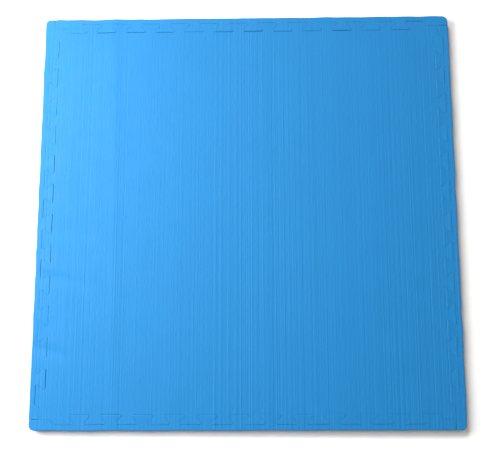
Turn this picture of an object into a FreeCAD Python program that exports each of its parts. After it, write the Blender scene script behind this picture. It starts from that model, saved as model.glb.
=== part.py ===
"""Square interlocking foam floor tile with its four push-in border strips.

The tile's four sides are cut to a jigsaw of dovetail teeth and gaps, so that tiles lock to
each other in a floor. Where no further tile follows, a border strip with the same teeth
closes the gaps and gives the mat a straight outer edge. The strips go round the tile like a
pinwheel: each one covers the corner at its own clockwise end and butts the next strip there.
The tile and the strips are each two foam sheets, bonded face to face at mid-thickness.

Millimetres, +Z up, origin at the middle of the underside. X runs right and Y runs back.
"""
import FreeCAD, Part
import math
import os

# The square that one tile takes up in a floor of tiles, edge mid-line to edge mid-line.
TILE_PITCH = 1000.0
TEETH_PER_SIDE = 12

# One tooth. Its two flanks lean outwards towards the tip, which makes it a dovetail.
TOOTH_HEIGHT = 24.0
FLANK_ANGLE = 41.5
TOOTH_CORNER_RADIUS = 3.6

# The flank nearest to each corner of the tile has no undercut: it leans the other way. Its
# middle stands this much nearer to the corner than half a tooth pitch.
END_FLANK_SHIFT = 7.0
END_FLANK_LEAN = 6.3

# The border strips, from the mid-line of the teeth to the straight outer edge.
BORDER_WIDTH = 26.0
OUTER_CORNER_RADIUS = 14.0
STRIP_END_RADIUS = 2.5

# The bonded foam sheets.
UPPER_LAYER = 10.0
LOWER_LAYER = 10.0

# Clearance of a border strip to the tile, and to the end of the strip beside it.
SEAM_GAP = 0.35

TOOTH_PITCH = TILE_PITCH / (TEETH_PER_SIDE + 1)
HALF_HEIGHT = TOOTH_HEIGHT / 2
FLANK_LEAN = HALF_HEIGHT * math.tan(math.radians(FLANK_ANGLE))
SIDES = ("back", "right", "front", "left")


def toothed_side(gap_first):
    """Corners of one side of the tile, as (along, outward, radius), in clockwise order.

    Along runs from one corner of the tile's square to the next, and outward is measured
    from the mid-line of the teeth. The teeth and gaps start and end half a pitch from the
    corners, and stand half a pitch on from each other.
    """
    corners = []
    start = TOOTH_PITCH / 2
    for flank in range(2 * TEETH_PER_SIDE + 1):
        middle = start + flank * TOOTH_PITCH / 2
        rises = flank % 2 == 1
        before, after = (-HALF_HEIGHT, HALF_HEIGHT) if rises else (HALF_HEIGHT, -HALF_HEIGHT)
        lean = FLANK_LEAN
        if flank == 0:
            middle -= END_FLANK_SHIFT
            before, lean = 0.0, -END_FLANK_LEAN / 2
        elif flank == 2 * TEETH_PER_SIDE:
            middle += END_FLANK_SHIFT
            after, lean = 0.0, -END_FLANK_LEAN / 2
        corners.append((middle + lean, before, TOOTH_CORNER_RADIUS))
        corners.append((middle - lean, after, TOOTH_CORNER_RADIUS))
    if gap_first:
        return corners
    return [(TILE_PITCH - along, outward, radius) for along, outward, radius in reversed(corners)]


def moved_out(corners, distance):
    """The same corners with the line through them moved outward, and its radii kept parallel."""
    moved = []
    ends = [(0.0, 0.0, 0.0)] + corners + [(TILE_PITCH, 0.0, 0.0)]
    for before, here, after in zip(ends, ends[1:], ends[2:]):
        way_in = FreeCAD.Vector(here[0] - before[0], here[1] - before[1], 0).normalize()
        way_out = FreeCAD.Vector(after[0] - here[0], after[1] - here[1], 0).normalize()
        normal_in = FreeCAD.Vector(-way_in.y, way_in.x, 0)
        normal_out = FreeCAD.Vector(-way_out.y, way_out.x, 0)
        shift = (normal_in + normal_out) * (distance / (1 + normal_in.dot(normal_out)))
        outside_corner = way_in.cross(way_out).z < 0
        radius = here[2] + distance if outside_corner else here[2] - distance
        moved.append((here[0] + shift.x, here[1] + shift.y, radius))
    return moved


def placed(side, corners):
    """Corners given along and outward of a side, as corners in X and Y."""
    turn = FreeCAD.Rotation(FreeCAD.Vector(0, 0, 1), -90 * SIDES.index(side))
    start = FreeCAD.Vector(-TILE_PITCH / 2, TILE_PITCH / 2, 0)
    return [
        (turn.multVec(start + FreeCAD.Vector(along, outward, 0)), radius)
        for along, outward, radius in corners
    ]


def rounded_outline(corners):
    """A closed wire through the corners, each one rounded to its own radius."""
    bends = []
    for i, (point, radius) in enumerate(corners):
        to_last = (corners[i - 1][0] - point).normalize()
        to_next = (corners[(i + 1) % len(corners)][0] - point).normalize()
        half_angle = to_last.getAngle(to_next) / 2
        reach = radius / math.tan(half_angle)
        to_middle = (to_last + to_next).normalize()
        nearest = point + to_middle * (radius / math.sin(half_angle) - radius)
        bends.append((point + to_last * reach, nearest, point + to_next * reach, radius))
    edges = []
    for i, (start, middle, end, radius) in enumerate(bends):
        edges.append(Part.LineSegment(bends[i - 1][2], start).toShape())
        if radius > 0:
            edges.append(Part.Arc(start, middle, end).toShape())
    return Part.Wire(edges)


def tile_outline():
    """The four toothed sides. The back and front start with a gap, the others with a tooth."""
    corners = []
    for side in SIDES:
        square_corner = (0.0, 0.0, 0.0)
        corners += placed(side, [square_corner] + toothed_side(side in ("back", "front")))
    return rounded_outline(corners)


def strip_outline(side):
    """A straight bar with teeth that fill the tile's gaps, and the corner at its far end."""
    far_end = TILE_PITCH + BORDER_WIDTH
    bar = [
        (0.0, SEAM_GAP, 0.0),
        (0.0, BORDER_WIDTH, STRIP_END_RADIUS),
        (far_end, BORDER_WIDTH, OUTER_CORNER_RADIUS),
        (far_end, SEAM_GAP, STRIP_END_RADIUS),
    ]
    teeth = moved_out(toothed_side(side in ("back", "front")), SEAM_GAP)
    return rounded_outline(placed(side, bar + teeth[::-1]))


def sheet(outline, bottom, thickness):
    """A flat foam sheet of that outline, standing on the height bottom."""
    face = Part.Face(outline)
    face.translate(FreeCAD.Vector(0, 0, bottom))
    return face.extrude(FreeCAD.Vector(0, 0, thickness))


def main():
    os.makedirs("parts", exist_ok=True)
    pieces = {"tile": tile_outline()}
    for side in SIDES:
        pieces[side + "_border"] = strip_outline(side)
    for name, outline in pieces.items():
        sheet(outline, 0, LOWER_LAYER).exportStep(f"parts/{name}_lower_layer.step")
        sheet(outline, LOWER_LAYER, UPPER_LAYER).exportStep(f"parts/{name}_upper_layer.step")


main()
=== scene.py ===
"""Interlocking foam floor tile with its four push-in border strips.

Each of the five pieces is two ribbed sheets of closed-cell EVA foam, bonded back to back. The
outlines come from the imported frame. This file adds what the press and the cutting die leave on
them: the ribs, the rolled edges, the cut faces with their open cells and the bond line. It also
adds what use has done to them: teeth that stand proud, gape or bulge where they were pushed in
unevenly, the ridge and faint waves of a tile that was rolled up, and the dents of one that was
folded.

Metres, +Z up, X to the right and Y to the back.
"""

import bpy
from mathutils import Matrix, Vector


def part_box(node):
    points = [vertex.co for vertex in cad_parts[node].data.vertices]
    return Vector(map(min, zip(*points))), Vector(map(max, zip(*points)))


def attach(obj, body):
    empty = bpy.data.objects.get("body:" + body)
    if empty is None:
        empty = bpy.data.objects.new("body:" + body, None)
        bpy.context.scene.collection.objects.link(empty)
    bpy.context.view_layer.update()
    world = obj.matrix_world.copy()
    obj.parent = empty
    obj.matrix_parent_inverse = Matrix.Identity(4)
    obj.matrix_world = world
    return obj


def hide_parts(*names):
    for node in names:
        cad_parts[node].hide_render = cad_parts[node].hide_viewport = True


bl_info = {
    "name": "Interlocking Foam Floor Tile",
    "version": (1, 0, 0),
    "blender": (4, 5, 0),
    "location": "3D View > Sidebar > Foam Tile",
    "description": "Builds a jigsaw foam floor tile with border strips, and a studio to show it in",
    "category": "Add Mesh",
}

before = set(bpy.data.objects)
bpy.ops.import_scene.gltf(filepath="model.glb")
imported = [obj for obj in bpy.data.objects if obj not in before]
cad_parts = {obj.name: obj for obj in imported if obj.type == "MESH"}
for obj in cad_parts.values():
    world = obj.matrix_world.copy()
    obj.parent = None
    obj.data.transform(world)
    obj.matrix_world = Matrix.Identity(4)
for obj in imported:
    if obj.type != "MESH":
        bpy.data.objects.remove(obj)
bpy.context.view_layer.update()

import math

import bpy
import numpy as np
from mathutils import Euler, Vector
from mathutils.geometry import delaunay_2d_cdt

MM = 0.001
SIDES = ("back", "right", "front", "left")
OUTWARD = {"back": (0, 1), "right": (1, 0), "front": (0, -1), "left": (-1, 0)}

# The jigsaw, as the tile was cut: the square between the mid-lines of the teeth, half a tooth's
# height, and how far outside the mid-line the straight outer edge stands.
TILE_PITCH = 1000 * MM
TEETH_PER_SIDE = 12
TOOTH_PITCH = TILE_PITCH / (TEETH_PER_SIDE + 1)
HALF_HEIGHT = 12 * MM
OUTER_EDGE = 26 * MM
# Where the first border tooth and the tile's first tooth stand, in tooth pitches.
FIRST_TEETH = {"back": (0.75, 1.25), "right": (1.25, 0.75), "front": (0.75, 1.25), "left": (1.25, 0.75)}

# How loosely each border tooth sits in its gap, from 0 for flush and shut to 1, in clockwise
# order: they were pushed in by hand, and not all of them to the end.
LOOSE_STRIP_TEETH = {
    "back": (0.1, 0.7, 0.7, 0.6, 0.1, 0.8, 1.0, 0.7, 0.2, 1.0, 0.2, 0.5),
    "right": (0.2, 0.1, 0.3, 0.1, 0.2, 0.3, 0.1, 0.2, 0.4, 0.3, 0.3, 0.2),
    "front": (0.4, 0.4, 0.1, 0.1, 0.2, 0.1, 0.1, 0.1, 0.1, 0.3, 0.5, 0.1),
    "left": (0.9, 0.2, 0.1, 0.3, 0.5, 0.6, 0.6, 0.5, 0.1, 0.1, 0.2, 0.2),
}
# The same for the tile's own teeth in the gaps of the strips.
LOOSE_TILE_TEETH = {
    "back": (0.1, 0.1, 0.1, 0.1, 0.2, 0.2, 0.2, 0.1, 0.1, 0.2, 0.1, 0.7),
    "right": (0.1, 0.4, 0.1, 0.0, 0.1, 0.1, 0.1, 0.1, 0.2, 0.1, 0.1, 0.2),
    "front": (0.1, 0.2, 0.0, 0.1, 0.1, 0.0, 0.1, 0.1, 0.0, 0.1, 0.2, 0.1),
    "left": (0.6, 0.1, 0.1, 0.2, 0.6, 0.6, 0.6, 0.2, 0.1, 0.1, 0.1, 0.1),
}
# And for the butt seam at each side's start, against the strip that covers the corner.
LOOSE_BUTTS = {"back": 0.0, "right": 0.9, "front": 0.8, "left": 0.8}
# How much each side's outer edge waves, as a share of the edge wave.
EDGE_WAVES = {"back": 0.4, "right": 0.8, "front": 0.3, "left": 0.4}

# Half the width of the groove between two ribs, in rib pitches.
GROOVE_SHOULDER = 0.22
# More ribs than the widest sheet has.
MOST_RIBS = 400

# The mesh: the shortest and the longest edge along an outline.
SHORTEST_EDGE, LONGEST_EDGE = 0.9 * MM, 5 * MM
# From a rolled edge to the first points of the face inside it, and to the first row of points.
END_STEP = 1.2 * MM
ROW_CLEARANCE = 3 * MM
# A face shows a hard edge where it bends by more than this, in degrees.
HARD_EDGE_ANGLE = 58
# Two points this near to each other in X lie along the same rib.
SAME_COLUMN = 1e-7

# Soft dents across the left side, where the tile was folded over an arm:
# (Y at the left edge, how far in it reaches, depth). The back slope is steeper than the front.
DENTS = (
    (-142 * MM, 170 * MM, 1.8 * MM),
    (-324 * MM, 120 * MM, 1.7 * MM),
    (-20 * MM, 150 * MM, 0.8 * MM),
)
DENT_BACK, DENT_FRONT = 11 * MM, 20 * MM
# From row to row of points along a dent.
DENT_ROW_STEP = 4 * MM
# The long soft ridge that the core of the roll left in the sheet: (X, height, half width).
ROLL_RIDGE = (-333 * MM, 0.6 * MM, 16 * MM)

# The studio: half the side of the floor, then the lights and the camera.
FLOOR_HALF_SIDE = 25.0
# The soft light at the left, and the broad one from the back, which is this many degrees wide.
KEY_PLACE = (-1.36, 0.4, 0.98)
KEY_SIZE = (1.56, 1.66)
BACK_PLACE = (-1.45, 2.65, 2.6)
BACK_WIDTH = 20
# The camera stands almost straight above the tile. Its turns are in degrees, its lens in mm.
CAMERA_PLACE = (0.0455, -0.3945, 2.0369)
CAMERA_TILT_ROLL_TURN = (10.35, 1.058, -0.1525)
CAMERA_LENS = 59.03


def linear_colour(code):
    """An sRGB hex code such as #2F8FE0 as linear red, green and blue."""
    values = [int(code[start : start + 2], 16) / 255 for start in (1, 3, 5)]
    return tuple(v / 12.92 if v <= 0.04045 else ((v + 0.055) / 1.055) ** 2.4 for v in values)


def length_setting(name, description, default):
    """A length, as a setting."""
    return bpy.props.FloatProperty(
        name=name, description=description, default=default, min=0.0, unit="LENGTH", precision=5
    )


def colour_setting(name, description, code):
    """A colour, as a setting."""
    return bpy.props.FloatVectorProperty(
        name=name, description=description, default=linear_colour(code), subtype="COLOR", min=0, max=1
    )


class FoamTileShape(bpy.types.PropertyGroup):
    """What the press, the die and use leave on the foam."""

    rib_pitch: length_setting("Rib pitch", "From one fine rib to the next", 3.09 * MM)
    rib_height: length_setting("Rib height", "How far a strong rib stands proud or low", 0.26 * MM)
    groove_depth: length_setting("Groove depth", "Depth of the groove between ribs", 0.1 * MM)
    outer_roll: length_setting("Outer roll", "Radius of the rolled outer edge", 1.8 * MM)
    seam_roll: length_setting("Seam roll", "Radius of the edge along a tight seam", 0.26 * MM)
    tip_roll: length_setting("Tip roll", "Radius added at the tip of each tooth", 0.6 * MM)
    tip_bulge: length_setting("Tip bulge", "How far a squeezed tooth's tip bulges up", 0.5 * MM)
    loose_roll: length_setting("Loose roll", "Radius added along a loose seam", 0.8 * MM)
    swelling: length_setting("Swelling", "How far the foam fills its clearance", 0.14 * MM)
    loose_gap: length_setting("Loose gap", "How far a loose tooth opens at its tip", 0.5 * MM)
    loose_step: length_setting("Loose step", "How far a loose border tooth stands proud", 0.4 * MM)
    seam_wander: length_setting("Seam wander", "How far the seams stray sideways", 0.25 * MM)
    edge_wave: length_setting("Edge wave", "How far the outer edges wave", 0.5 * MM)
    bond_groove: length_setting("Bond groove", "Depth of the groove at the bond line", 0.35 * MM)
    row_step: length_setting("Row step", "Longest mesh edge along a rib", 32 * MM)


class FoamTileFinish(bpy.types.PropertyGroup):
    """Colours and grain of the foam."""

    upper_colour: colour_setting("Upper foam", "Colour of the upper sheets", "#0C71AD")
    lower_colour: colour_setting("Lower foam", "Colour of the lower sheets", "#0C71AD")
    cell_size: length_setting("Cell size", "Width of the open cells on a cut face", 0.9 * MM)


class FoamTileStudio(bpy.types.PropertyGroup):
    """The floor and the lights."""

    floor_colour: colour_setting("Floor", "Colour of the floor", "#F8F8F8")
    key_power: bpy.props.FloatProperty(
        name="Key light", description="Power of the soft light at the left", default=72.0, unit="POWER"
    )
    back_strength: bpy.props.FloatProperty(
        name="Back light", description="Strength of the broad light from the back", default=1.84, min=0.0
    )
    room_colour: colour_setting("Room", "Colour of the room's faint light", "#FFF9F1")
    fill: bpy.props.FloatProperty(
        name="Fill", description="Brightness of the white room", default=0.39, min=0.0
    )


def smooth_step(value, low, high):
    """0 below low, 1 above high, and a smooth rise between."""
    share = np.clip((value - low) / (high - low), 0, 1)
    return share * share * (3 - 2 * share)


def wave(place, longest, shortest, seed):
    """A smooth random line about zero, roughly 1 high, with waves between two lengths."""
    dice = np.random.RandomState(seed)
    total = np.zeros_like(place)
    for _ in range(7):
        length = dice.uniform(shortest, longest)
        total += np.sin(2 * np.pi * (place / length + dice.uniform())) * dice.uniform(0.3, 0.7)
    return total


def along_and_outward(side, x, y):
    """Places along a side, clockwise from its corner, and outward of the teeth's mid-line."""
    half = TILE_PITCH / 2
    return {
        "back": (x + half, y - half),
        "right": (half - y, x - half),
        "front": (half - x, -y - half),
        "left": (y + half, -x - half),
    }[side]


def tooth_looseness(side, values, first, x, y):
    """A side's looseness values, one for each tooth, each spread over its own tooth's width."""
    along = along_and_outward(side, x, y)[0]
    total = np.zeros_like(x)
    for number, value in enumerate(values):
        off_middle = np.abs(along - (first + number) * TOOTH_PITCH)
        total += value * (1 - smooth_step(off_middle, 0.22 * TOOTH_PITCH, 0.5 * TOOTH_PITCH))
    return total


def strip_looseness(side, x, y):
    """How loosely the border strip of a side sits at a place: at its teeth and at its butt."""
    along, outward = along_and_outward(side, x, y)
    teeth = tooth_looseness(side, LOOSE_STRIP_TEETH[side], FIRST_TEETH[side][0], x, y)
    teeth *= smooth_step(outward, -3 * HALF_HEIGHT, -1.2 * HALF_HEIGHT)
    teeth *= 1 - smooth_step(outward, -HALF_HEIGHT, 1.5 * HALF_HEIGHT)
    butt = (1 - smooth_step(np.abs(along), 4 * MM, 16 * MM)) * smooth_step(outward, 0, 5 * MM)
    return teeth + LOOSE_BUTTS[side] * butt


def tile_looseness(side, x, y):
    """How loosely the tile's own teeth sit at a place on one of its sides."""
    outward = along_and_outward(side, x, y)[1]
    teeth = tooth_looseness(side, LOOSE_TILE_TEETH[side], FIRST_TEETH[side][1], x, y)
    teeth *= smooth_step(outward, -1.5 * HALF_HEIGHT, HALF_HEIGHT)
    return teeth * (1 - smooth_step(outward, HALF_HEIGHT, 1.8 * HALF_HEIGHT))


def looseness(x, y):
    """How loose the seams near a place are, on either side of them."""
    return sum(strip_looseness(side, x, y) + tile_looseness(side, x, y) for side in SIDES)


def outward_of_seams(x, y):
    """How far outward of the teeth's mid-line a place is, on whichever side is nearest."""
    return np.maximum(np.abs(x), np.abs(y)) - TILE_PITCH / 2


def tip_shares(x, y, steps):
    """Two shares for each point of an outline. The first is 1 where the seam lies along its
    side of the tile, at tips and roots of teeth, and near 0 on the flanks: a strip that is
    pulled outward opens there and wedges at the flanks. The second is 1 at the tips alone."""
    across = np.where(np.abs(x) > np.abs(y), steps[:, 0] * np.sign(x), steps[:, 1] * np.sign(y))
    across /= np.linalg.norm(steps, axis=1)
    at_corner = np.minimum(np.abs(x), np.abs(y)) > TILE_PITCH / 2 - HALF_HEIGHT
    flat = across**4
    own_tip = across * outward_of_seams(x, y) > 0
    return np.where(at_corner, 1, flat), np.where(at_corner | ~own_tip, 0, flat)


def squeeze(x):
    """How hard the teeth are squeezed: least at the left, where the tile was folded."""
    return 1 - 0.65 * smooth_step(-x, 0.4, 0.5)


def seam_roll(x, y, steps, shape):
    """Radius of the rolled edge at a place: small along tight seams, large at the outer edge."""
    flat, tip = tip_shares(x, y, steps)
    seam = shape.seam_roll * (1 + 0.4 * wave(x + 2 * y, longest=0.09, shortest=0.03, seed=41))
    seam = np.maximum(seam, shape.seam_roll / 2) + shape.tip_roll * tip * squeeze(x)
    seam += shape.loose_roll * flat * np.minimum(looseness(x, y), 1)
    outer = smooth_step(outward_of_seams(x, y), 18 * MM, 24 * MM)
    return seam + (shape.outer_roll - seam) * outer


def tip_bulge(x, y, towards_tip, shape):
    """How far teeth bulge up from being squeezed into their gaps: most at the tip. Where the
    flanks meet, half way up, both pieces are the same height."""
    own = 0.75 * squeeze(x) + 0.25 * wave(x - y, longest=0.21, shortest=0.09, seed=42)
    return shape.tip_bulge * own * smooth_step(towards_tip, -HALF_HEIGHT, HALF_HEIGHT)


def rib_relief(x, y, shape):
    """Height of the ribbed face. Each rib has its own height, a few stand well proud or low,
    and a groove parts it from the next. The roller pressed hardest along the middle and beside
    the right and left edges, and harder at the front than at the back."""
    place = x / shape.rib_pitch
    dice = np.random.RandomState(5)
    heights = dice.choice([-1, 1], MOST_RIBS) * (0.12 + 0.88 * dice.uniform(size=MOST_RIBS) ** 1.9)
    lengths = dice.uniform(0.25, 0.7, MOST_RIBS)
    starts = dice.uniform(0, 2 * np.pi, MOST_RIBS)

    def own_height(rib):
        number = rib.astype(int) + MOST_RIBS // 2
        swell = 0.8 + 0.3 * np.sin(2 * np.pi * y / lengths[number] + starts[number])
        return heights[number] * swell

    press = 0.27 + 0.8 * np.exp(-(((x - 0.06) / 0.17) ** 2))
    press += 0.65 * smooth_step(x, 0.26, 0.42) + 0.35 * smooth_step(-x, 0.24, 0.36)
    press *= 0.85 - 0.7 * y
    groove = np.rint(place)
    off_groove = place - groove
    before, after = own_height(groove - 1), own_height(groove)
    share = np.clip(off_groove / (2 * GROOVE_SHOULDER) + 0.5, 0, 1)
    dip = np.clip(1 - np.abs(off_groove) / GROOVE_SHOULDER, 0, 1)
    ribs = shape.rib_height * (before + (after - before) * share) * press
    return ribs - shape.groove_depth * dip * (0.4 + 0.6 * press)


def slack(x, y):
    """How far the flexible tile stands off a true plane: faint long waves and the ridge from
    having been rolled up, and the dents at the left."""
    middle, height, half_width = ROLL_RIDGE
    rise = 0.06 * MM * wave(x, longest=0.19, shortest=0.06, seed=31)
    rise += 0.08 * MM * wave(y + 0.3 * x, longest=0.4, shortest=0.12, seed=32)
    rise += height * np.exp(-(((x - middle + 0.02 * y) / half_width) ** 2))
    from_left = x + TILE_PITCH / 2 + OUTER_EDGE
    for at_edge, reach, depth in DENTS:
        off_line = y - at_edge + 0.25 * from_left
        off_line /= np.where(off_line > 0, DENT_BACK, DENT_FRONT)
        fade = 1 - smooth_step(from_left, 0.25 * reach, reach)
        rise -= depth * np.exp(-(off_line**2)) * fade
    return rise


def cut_outline(node):
    """The closed outline that a sheet was cut to, anticlockwise, from the top of its CAD node."""
    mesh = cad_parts[node].data
    edges = set()
    for face in mesh.polygons:
        if face.normal.z > 0.9:
            ring = [tuple(round(c, 7) for c in mesh.vertices[v].co[:2]) for v in face.vertices]
            edges.update(zip(ring, ring[1:] + ring[:1]))
    ahead = {start: end for start, end in edges if (end, start) not in edges}
    outline = [min(ahead)]
    while ahead[outline[-1]] != outline[0]:
        outline.append(ahead[outline[-1]])
    return np.array(outline)


def evened(outline, shortest, longest):
    """The outline with its points neither crowded nor far apart."""
    kept = [outline[0]]
    for point in np.concatenate([outline[1:], outline[:1]]):
        last = kept[-1]
        gap = np.linalg.norm(point - last)
        if gap > shortest:
            pieces = math.ceil(gap / longest)
            kept += [last + (point - last) * number / pieces for number in range(1, pieces + 1)]
    return np.array(kept[:-1])


def outward_steps(outline):
    """For each point, the step that moves both edges beside it outward by one."""
    edges = np.roll(outline, -1, axis=0) - outline
    edges /= np.linalg.norm(edges, axis=1)[:, None]
    after = np.stack([edges[:, 1], -edges[:, 0]], axis=1)
    before = np.roll(after, 1, axis=0)
    return (before + after) / (1 + (before * after).sum(axis=1))[:, None]


def worn_outline(outline, shape, side=None):
    """The cut outline as it lies in the floor: swollen into its clearance, drawn back where it
    sits loosely, and not quite straight."""
    points = evened(outline, SHORTEST_EDGE, LONGEST_EDGE)
    x, y = points.T
    steps = outward_steps(points)
    flat, _ = tip_shares(x, y, steps)
    growth = shape.swelling - shape.loose_gap / 2 * looseness(x, y) * flat
    stray_x = wave(y, longest=0.2, shortest=0.05, seed=11)
    stray_y = wave(x, longest=0.2, shortest=0.05, seed=12)
    stray = np.stack([stray_x, stray_y], axis=1)
    worn = points + steps * growth[:, None] + stray * shape.seam_wander
    if side:
        along, outward = along_and_outward(side, x, y)
        waves = wave(along, longest=0.16, shortest=0.05, seed=20 + SIDES.index(side))
        waves *= EDGE_WAVES[side]
        waves *= shape.edge_wave * smooth_step(outward, HALF_HEIGHT, OUTER_EDGE)
        worn += waves[:, None] * np.array(OUTWARD[side])
    return worn


def rib_columns(outline, pitch):
    """X of every line that the ribs bend at: the bottom and the shoulders of each groove."""
    first = math.floor(outline[:, 0].min() / pitch)
    last = math.ceil(outline[:, 0].max() / pitch)
    bends = (-GROOVE_SHOULDER, 0, GROOVE_SHOULDER)
    return np.array([pitch * (groove + bend) for groove in range(first, last + 1) for bend in bends])


def triangles(points, edges):
    """Triangles that fill closed edges, as numbers of the points, anticlockwise."""
    made = delaunay_2d_cdt([Vector(point) for point in points], edges, [], 1, 1e-8)
    return [tuple(made[3][corner][0] for corner in face) for face in made[2]]


def sheet_plan(outline, shape):
    """The flat mesh of a ribbed face: its points, its triangles, and the outward step and the
    rolled edge's radius at each point of its ring. The ring comes first in the points, and lies
    inside the outline by that radius. Edges along every column keep each rib's true section."""
    columns = rib_columns(outline, shape.rib_pitch)
    steps = outward_steps(outline)
    rolls = seam_roll(*outline.T, steps, shape)[:, None]
    # Each row is a point of the ring, its outward step and its roll.
    corners = np.hstack([outline - steps * rolls, steps, rolls])
    ring = []
    crossings = [[] for _ in columns]
    for here, there in zip(corners, np.roll(corners, -1, axis=0)):
        ring.append(here)
        first, last = np.searchsorted(columns, sorted((here[0], there[0])))
        crossed = range(first, last)
        for column in crossed if there[0] > here[0] else reversed(crossed):
            share = (columns[column] - here[0]) / (there[0] - here[0])
            crossings[column].append(len(ring))
            ring.append(here + share * (there - here))
    points = [corner[:2] for corner in ring]
    edges = [(number, (number + 1) % len(ring)) for number in range(len(ring))]
    rows = np.arange(-TILE_PITCH, TILE_PITCH, shape.row_step)
    dent_rows = [
        np.arange(at_edge - reach / 4 - 2 * DENT_FRONT, at_edge + 2.5 * DENT_BACK, DENT_ROW_STEP)
        for at_edge, reach, _ in DENTS
    ]
    left_rows = np.unique(np.concatenate([rows, *dent_rows]).round(4))
    dents_end = max(reach for _, reach, _ in DENTS) - TILE_PITCH / 2 - OUTER_EDGE
    for x, cuts in zip(columns, crossings):
        cuts.sort(key=lambda cut: ring[cut][1])
        for low, high in zip(cuts[::2], cuts[1::2]):
            last = low
            bottom, top = ring[low][1], ring[high][1]
            own_rows = left_rows if x < dents_end else rows
            clear = (own_rows > bottom + ROW_CLEARANCE) & (own_rows < top - ROW_CLEARANCE)
            # A point close to each end keeps the face flat right up to its rolled edge.
            near_ends = [bottom + END_STEP, top - END_STEP] if top - bottom > 3 * END_STEP else []
            for y in sorted([*own_rows[clear], *near_ends]):
                edges.append((last, len(points)))
                last = len(points)
                points.append((x, y))
            edges.append((last, high))
    ring = np.array(ring)
    return np.array(points), triangles(points, edges), ring[:, 2:4], ring[:, 4]


def mark_hard_edges(mesh, places, ring_count, face_count):
    """Gives each rib's flats and flanks their own shading across the ribs, blended along them,
    and keeps hard every edge that bends sharply."""
    mesh.shade_smooth()
    mesh.set_sharp_from_angle(angle=math.radians(HARD_EDGE_ANGLE))
    ends = np.empty(2 * len(mesh.edges), dtype=np.int32)
    mesh.edges.foreach_get("vertices", ends)
    ends = ends.reshape(-1, 2)
    hard = np.empty(len(mesh.edges), dtype=bool)
    mesh.edges.foreach_get("use_edge_sharp", hard)
    lies_along = np.abs(places[ends[:, 0], 0] - places[ends[:, 1], 0]) < SAME_COLUMN
    inside = (ends.min(axis=1) >= ring_count) & (ends.max(axis=1) < face_count)
    mesh.edges.foreach_set("use_edge_sharp", hard | (lies_along & inside))


def foam_sheet(name, plan, shape, bond_height, thickness, rise, materials):
    """One sheet: ribbed face, rolled edge, cut face and bond line. It stands on the bond's
    height if its thickness is positive, and hangs below it if it is negative."""
    points, face_triangles, steps, roll = plan
    count, tall = len(roll), abs(thickness)
    lift = rise(points[:, 0], points[:, 1])
    heights = tall + rib_relief(points[:, 0], points[:, 1], shape) + lift
    # The levels of points, from the face down: the face, the middle and the foot of its rolled
    # edge, the foot of the cut wall, and the bond line.
    levels = [np.column_stack([points, heights])]
    ring, ring_lift = points[:count], lift[:count]
    turned = math.sin(math.radians(45)) * roll
    middle = ring + steps * turned[:, None]
    ring_top = tall + rib_relief(middle[:, 0], middle[:, 1], shape) + ring_lift
    levels.append(np.column_stack([middle, ring_top - (roll - turned)]))
    cut = ring + steps * roll[:, None]
    levels.append(np.column_stack([cut, ring_top - roll]))
    levels.append(np.column_stack([cut, np.full(count, 2 * shape.bond_groove)]))
    bond = cut - steps * shape.bond_groove
    levels.append(np.column_stack([bond, np.zeros(count)]))
    starts = np.cumsum([0] + [len(level) for level in levels[:-1]])
    after = [*range(1, count), 0]
    faces = list(face_triangles)
    for upper, lower in zip(starts, starts[1:]):
        for here, there in enumerate(after):
            faces.append((upper + here, lower + here, lower + there, upper + there))
    cut_faces_from = len(face_triangles) + 2 * count
    bottom = triangles(bond, list(enumerate(after)))
    faces += [tuple(starts[-1] + corner for corner in reversed(face)) for face in bottom]
    places = np.concatenate(levels)
    places[:, 2] = bond_height + places[:, 2] * math.copysign(1, thickness)
    if thickness < 0:
        faces = [tuple(reversed(face)) for face in faces]
    mesh = bpy.data.meshes.new(name)
    mesh.from_pydata(places.tolist(), [], faces)
    for material in materials:
        mesh.materials.append(material)
    numbers = np.zeros(len(faces), dtype=np.int32)
    numbers[cut_faces_from:] = 1
    mesh.polygons.foreach_set("material_index", numbers)
    mark_hard_edges(mesh, places, count, len(points))
    sheet = bpy.data.objects.new(name, mesh)
    bpy.context.scene.collection.objects.link(sheet)
    return sheet


def add_node(tree, kind, links=(), **settings):
    """Adds a shader node with its settings. A link is (own input, node, that node's output)."""
    node = tree.nodes.new(kind)
    for name, value in settings.items():
        if name in node.inputs:
            node.inputs[name].default_value = value
        else:
            setattr(node, name, value)
    for own_input, other, output in links:
        tree.links.new(other.outputs[output], node.inputs[own_input])
    return node


def new_material(name):
    """An empty material and its node tree."""
    material = bpy.data.materials.new(name)
    material.use_nodes = True
    material.node_tree.nodes.clear()
    return material, material.node_tree


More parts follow.
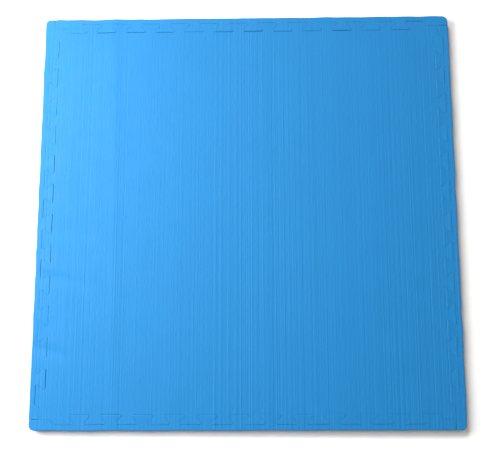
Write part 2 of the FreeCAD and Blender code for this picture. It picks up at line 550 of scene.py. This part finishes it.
def pressed_eva_skin(name, colour):
    """EVA foam with the closed skin that a hot press leaves: matt, waxy and a little velvety,
    so that it brightens at a low angle, with a fine leathery pebble and faint scuffs."""
    material, tree = new_material(name)
    where = add_node(tree, "ShaderNodeTexCoord")
    # The foam's dye takes up unevenly, in patches a hand wide.
    patches = add_node(
        tree, "ShaderNodeTexNoise", [("Vector", where, "Object")], Scale=1 / (90 * MM), Detail=3.0
    )
    shade = add_node(
        tree, "ShaderNodeMapRange", [("Value", patches, "Fac")], **{"To Min": 0.96, "To Max": 1.04}
    )
    dyed = add_node(tree, "ShaderNodeMix", data_type="RGBA", blend_type="MULTIPLY")
    dyed.inputs["Factor"].default_value = 1.0
    dyed.inputs["A"].default_value = (*colour, 1)
    tree.links.new(shade.outputs["Result"], dyed.inputs["B"])
    # The pebble is 0.4 mm on the real skin, and is drawn at 1.2 mm so that it shows.
    pebble = add_node(
        tree, "ShaderNodeTexVoronoi", [("Vector", where, "Object")], Scale=1 / (1.2 * MM)
    )
    pebbled = add_node(
        tree, "ShaderNodeBump", [("Height", pebble, "Distance")], Strength=0.5, Distance=0.12 * MM
    )
    # The roller left each rib uneven along its length, in dashes about a rib wide.
    drawn_out = add_node(
        tree, "ShaderNodeMapping", [("Vector", where, "Object")], Scale=(1 / (4 * MM), 1 / (18 * MM), 1)
    )
    dashes = add_node(
        tree, "ShaderNodeTexNoise", [("Vector", drawn_out, "Vector")], Scale=1.0, Detail=2.0
    )
    bump = add_node(
        tree,
        "ShaderNodeBump",
        [("Height", dashes, "Fac"), ("Normal", pebbled, "Normal")],
        Strength=0.6,
        Distance=0.55 * MM,
    )
    # Handling polishes the skin a little, unevenly.
    rubbed = add_node(
        tree, "ShaderNodeTexNoise", [("Vector", where, "Object")], Scale=1 / (35 * MM), Detail=5.0
    )
    roughness = add_node(
        tree, "ShaderNodeMapRange", [("Value", rubbed, "Fac")], **{"To Min": 0.48, "To Max": 0.72}
    )
    surface = add_node(
        tree,
        "ShaderNodeBsdfPrincipled",
        [
            ("Base Color", dyed, "Result"),
            ("Roughness", roughness, "Result"),
            ("Normal", bump, "Normal"),
        ],
        **{
            "IOR": 1.49,
            "Specular IOR Level": 0.3,
            "Sheen Weight": 0.2,
            "Sheen Roughness": 0.5,
            "Sheen Tint": (*linear_colour("#90E0F0"), 1),
        },
    )
    add_node(tree, "ShaderNodeOutputMaterial", [("Surface", surface, "BSDF")])
    return material


def die_cut_eva(name, colour, cell_size):
    """EVA foam where a steel die cut through its cells: drier and paler than the skin, and
    pitted all over, because each cut cell is a small open cup. Its colour is darkened towards
    the bottom of each cup, which is painted shade in the pits."""
    material, tree = new_material(name)
    where = add_node(tree, "ShaderNodeTexCoord")
    cells = add_node(
        tree, "ShaderNodeTexVoronoi", [("Vector", where, "Object")], Scale=1 / cell_size
    )
    # Painted shade in the pits: the colour darkens towards the middle of each cell, where the bump below
    # sinks it into a cup.
    shade = add_node(
        tree, "ShaderNodeMapRange", [("Value", cells, "Distance")], **{"To Min": 0.8, "To Max": 1.15}
    )
    dyed = add_node(tree, "ShaderNodeMix", data_type="RGBA", blend_type="MULTIPLY")
    dyed.inputs["Factor"].default_value = 1.0
    dyed.inputs["A"].default_value = (*colour, 1)
    tree.links.new(shade.outputs["Result"], dyed.inputs["B"])
    bump = add_node(
        tree, "ShaderNodeBump", [("Height", cells, "Distance")], Strength=0.6, Distance=0.3 * MM
    )
    surface = add_node(
        tree,
        "ShaderNodeBsdfPrincipled",
        [("Base Color", dyed, "Result"), ("Normal", bump, "Normal")],
        **{"Roughness": 0.85, "IOR": 1.49, "Sheen Weight": 0.1},
    )
    add_node(tree, "ShaderNodeOutputMaterial", [("Surface", surface, "BSDF")])
    return material


def foam_materials(layer):
    """The skin and the cut face of one layer's foam, made once for all five pieces."""
    finish = bpy.context.scene.foam_tile_finish
    colour = tuple(getattr(finish, layer + "_colour"))
    skin_name, cut_name = f"pressed EVA skin {layer}", f"die-cut EVA {layer}"
    skin = bpy.data.materials.get(skin_name) or pressed_eva_skin(skin_name, colour)
    cut = bpy.data.materials.get(cut_name) or die_cut_eva(cut_name, colour, finish.cell_size)
    return skin, cut


def underside(x, y):
    """The rise of a face that lies on the floor: its proudest ribs just touch."""
    return np.full_like(x, -1.4 * bpy.context.scene.foam_tile_shape.rib_height)


def add_layers(body, side, rise):
    """Builds both sheets of one piece of the tile, in place of its two CAD layers."""
    shape = bpy.context.scene.foam_tile_shape
    plan = sheet_plan(worn_outline(cut_outline(body + "_upper_layer"), shape, side), shape)
    for layer, sheet_rise in (("upper", rise), ("lower", underside)):
        node = f"{body}_{layer}_layer"
        low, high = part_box(node)
        bond, face = (low.z, high.z) if layer == "upper" else (high.z, low.z)
        sheet = foam_sheet(
            f"{body}_{layer}_foam", plan, shape, bond, face - bond, sheet_rise, foam_materials(layer)
        )
        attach(sheet, body)
        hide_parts(node)


class FOAMTILE_OT_tile(bpy.types.Operator):
    """Add the square tile, with its jigsaw teeth on all four sides"""

    bl_idname = "foam_tile.add_tile"
    bl_label = "Tile"

    def execute(self, context):
        shape = context.scene.foam_tile_shape

        def rise(x, y):
            sunk = shape.loose_step * sum(tile_looseness(side, x, y) for side in SIDES)
            return slack(x, y) + tip_bulge(x, y, outward_of_seams(x, y), shape) - sunk

        add_layers("tile", None, rise)
        return {"FINISHED"}


class FOAMTILE_OT_border_strips(bpy.types.Operator):
    """Add the four border strips, pushed into the tile's sides"""

    bl_idname = "foam_tile.add_border_strips"
    bl_label = "Border Strips"

    def execute(self, context):
        shape = context.scene.foam_tile_shape
        for side in SIDES:

            def rise(x, y, side=side):
                proud = shape.loose_step * strip_looseness(side, x, y)
                return slack(x, y) + tip_bulge(x, y, -outward_of_seams(x, y), shape) + proud

            add_layers(side + "_border", side, rise)
        return {"FINISHED"}


def add_floor(colour):
    """A wide sheet of matt white paper under the tile."""
    material, tree = new_material("matt white paper")
    surface = add_node(
        tree, "ShaderNodeBsdfPrincipled", Roughness=0.9, **{"Base Color": (*colour, 1)}
    )
    add_node(tree, "ShaderNodeOutputMaterial", [("Surface", surface, "BSDF")])
    half = FLOOR_HALF_SIDE
    mesh = bpy.data.meshes.new("floor")
    corners = [(-half, -half, 0), (half, -half, 0), (half, half, 0), (-half, half, 0)]
    mesh.from_pydata(corners, [], [(0, 1, 2, 3)])
    mesh.materials.append(material)
    floor = bpy.data.objects.new("floor", mesh)
    bpy.context.scene.collection.objects.link(floor)


def add_aimed_light(name, data, place):
    """Puts a light at a place and turns it to the middle of the tile. It doesn't show itself."""
    light = bpy.data.objects.new(name, data)
    light.location = place
    light.rotation_euler = (-Vector(place)).to_track_quat("-Z", "Y").to_euler()
    light.visible_camera = False
    bpy.context.scene.collection.objects.link(light)


def add_lights(studio):
    """A soft light low at the left, a broad one from the back and a faint white room."""
    key = bpy.data.lights.new("key light", "AREA")
    key.shape = "RECTANGLE"
    key.size, key.size_y = KEY_SIZE
    key.energy = studio.key_power
    add_aimed_light("key light", key, KEY_PLACE)
    back = bpy.data.lights.new("back light", "SUN")
    back.angle = math.radians(BACK_WIDTH)
    back.energy = studio.back_strength
    add_aimed_light("back light", back, BACK_PLACE)
    world = bpy.data.worlds.new("white room")
    world.use_nodes = True
    background = world.node_tree.nodes["Background"]
    background.inputs["Color"].default_value = (*studio.room_colour, 1)
    background.inputs["Strength"].default_value = studio.fill
    bpy.context.scene.world = world


def add_camera():
    """The camera, looking down on the whole tile."""
    data = bpy.data.cameras.new("camera")
    data.lens = CAMERA_LENS
    camera = bpy.data.objects.new("camera", data)
    camera.location = CAMERA_PLACE
    camera.rotation_euler = Euler([math.radians(angle) for angle in CAMERA_TILT_ROLL_TURN])
    bpy.context.scene.collection.objects.link(camera)
    bpy.context.scene.camera = camera


class FOAMTILE_OT_studio(bpy.types.Operator):
    """Add the pale floor, the soft lights and the camera"""

    bl_idname = "foam_tile.set_up_studio"
    bl_label = "Studio"

    def execute(self, context):
        studio = context.scene.foam_tile_studio
        add_floor(studio.floor_colour)
        add_lights(studio)
        add_camera()
        context.scene.view_settings.view_transform = "Standard"
        return {"FINISHED"}


class FOAMTILE_PT_panel(bpy.types.Panel):
    """Lists the pieces and their settings"""

    bl_idname = "FOAMTILE_PT_panel"
    bl_label = "Foam Tile"
    bl_space_type = "VIEW_3D"
    bl_region_type = "UI"
    bl_category = "Foam Tile"

    def draw(self, context):
        scene = context.scene
        for operator in OPERATORS:
            self.layout.operator(operator.bl_idname)
        for group in (scene.foam_tile_shape, scene.foam_tile_finish, scene.foam_tile_studio):
            box = self.layout.box()
            for setting in group.__annotations__:
                box.prop(group, setting)


OPERATORS = (FOAMTILE_OT_tile, FOAMTILE_OT_border_strips, FOAMTILE_OT_studio)
SETTINGS = {
    "foam_tile_shape": FoamTileShape,
    "foam_tile_finish": FoamTileFinish,
    "foam_tile_studio": FoamTileStudio,
}
CLASSES = (*SETTINGS.values(), *OPERATORS, FOAMTILE_PT_panel)


def register():
    for each in CLASSES:
        bpy.utils.register_class(each)
    for name, group in SETTINGS.items():
        setattr(bpy.types.Scene, name, bpy.props.PointerProperty(type=group))


def unregister():
    for name in SETTINGS:
        delattr(bpy.types.Scene, name)
    for each in reversed(CLASSES):
        bpy.utils.unregister_class(each)


def main():
    register()
    bpy.ops.foam_tile.add_tile()
    bpy.ops.foam_tile.add_border_strips()
    bpy.ops.foam_tile.set_up_studio()


if __name__ == "__main__":
    main()
